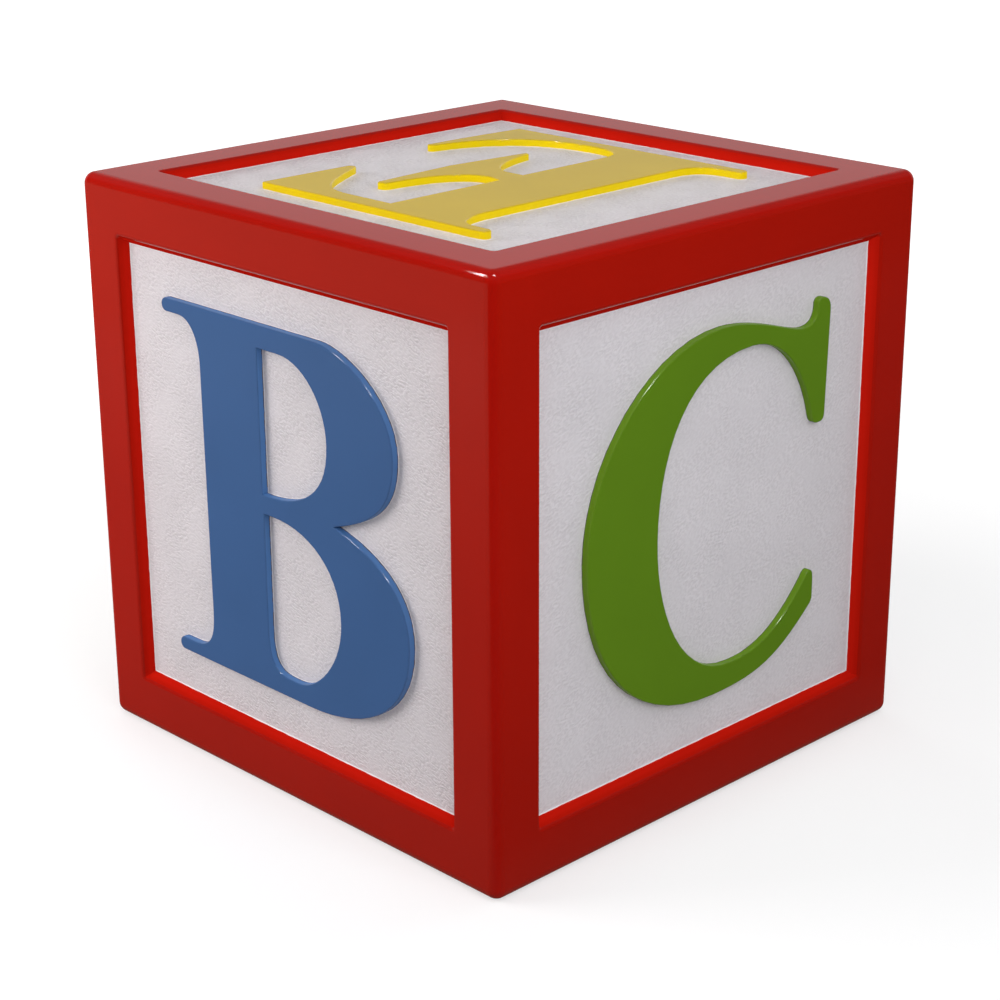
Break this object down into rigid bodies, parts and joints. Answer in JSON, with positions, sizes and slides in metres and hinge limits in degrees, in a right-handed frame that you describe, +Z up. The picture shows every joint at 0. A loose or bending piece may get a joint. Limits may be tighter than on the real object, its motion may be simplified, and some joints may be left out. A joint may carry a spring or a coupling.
{
  "type": "alphabet block",
  "caption": "Large painted cube block: a bevelled red frame, pale stippled panels and a thick raised serif letter on each face.",
  "frame": {"origin": "middle of the underside, on the plane that the bottom frame rests on", "axes": "+Z up; the face with B looks along -Y, the face with C along +X and the face with E along +Z; the top of the E is towards -Y"},
  "size_m": [0.45, 0.45, 0.45],
  "materials": {
    "red_paint": "gloss red enamel over a smooth wooden frame",
    "white_paint": "satin off-white paint, rolled on thick, with a fine stipple",
    "blue_paint": "gloss blue enamel on fibreboard",
    "green_paint": "gloss green enamel on fibreboard",
    "yellow_paint": "gloss yellow enamel on fibreboard",
    "beech": "bare beech",
    "zinc": "bright zinc plate"
  },
  "bodies": {
    "root": {"post_front_left": "red_paint", "post_front_right": "red_paint", "post_back_left": "red_paint", "post_back_right": "red_paint", "rail_top_front": "red_paint", "rail_top_back": "red_paint", "rail_top_left": "red_paint", "rail_top_right": "red_paint", "rail_bottom_front": "red_paint", "rail_bottom_back": "red_paint", "rail_bottom_left": "red_paint", "rail_bottom_right": "red_paint", "panel_front": "white_paint", "panel_right": "white_paint", "panel_back": "white_paint", "panel_left": "white_paint", "panel_top": "white_paint", "panel_bottom": "white_paint", "letter_b": "blue_paint", "letter_c": "green_paint", "letter_d": "blue_paint", "letter_a": "green_paint", "letter_e": "yellow_paint", "letter_f": "yellow_paint", "dowels_top_front_back": "beech", "dowels_top_sides": "beech", "dowels_bottom_front_back": "beech", "dowels_bottom_sides": "beech", "screws_b": "zinc", "screws_c": "zinc", "screws_d": "zinc", "screws_a": "zinc", "screws_e": "zinc", "screws_f": "zinc"}
  },
  "joints": []
}
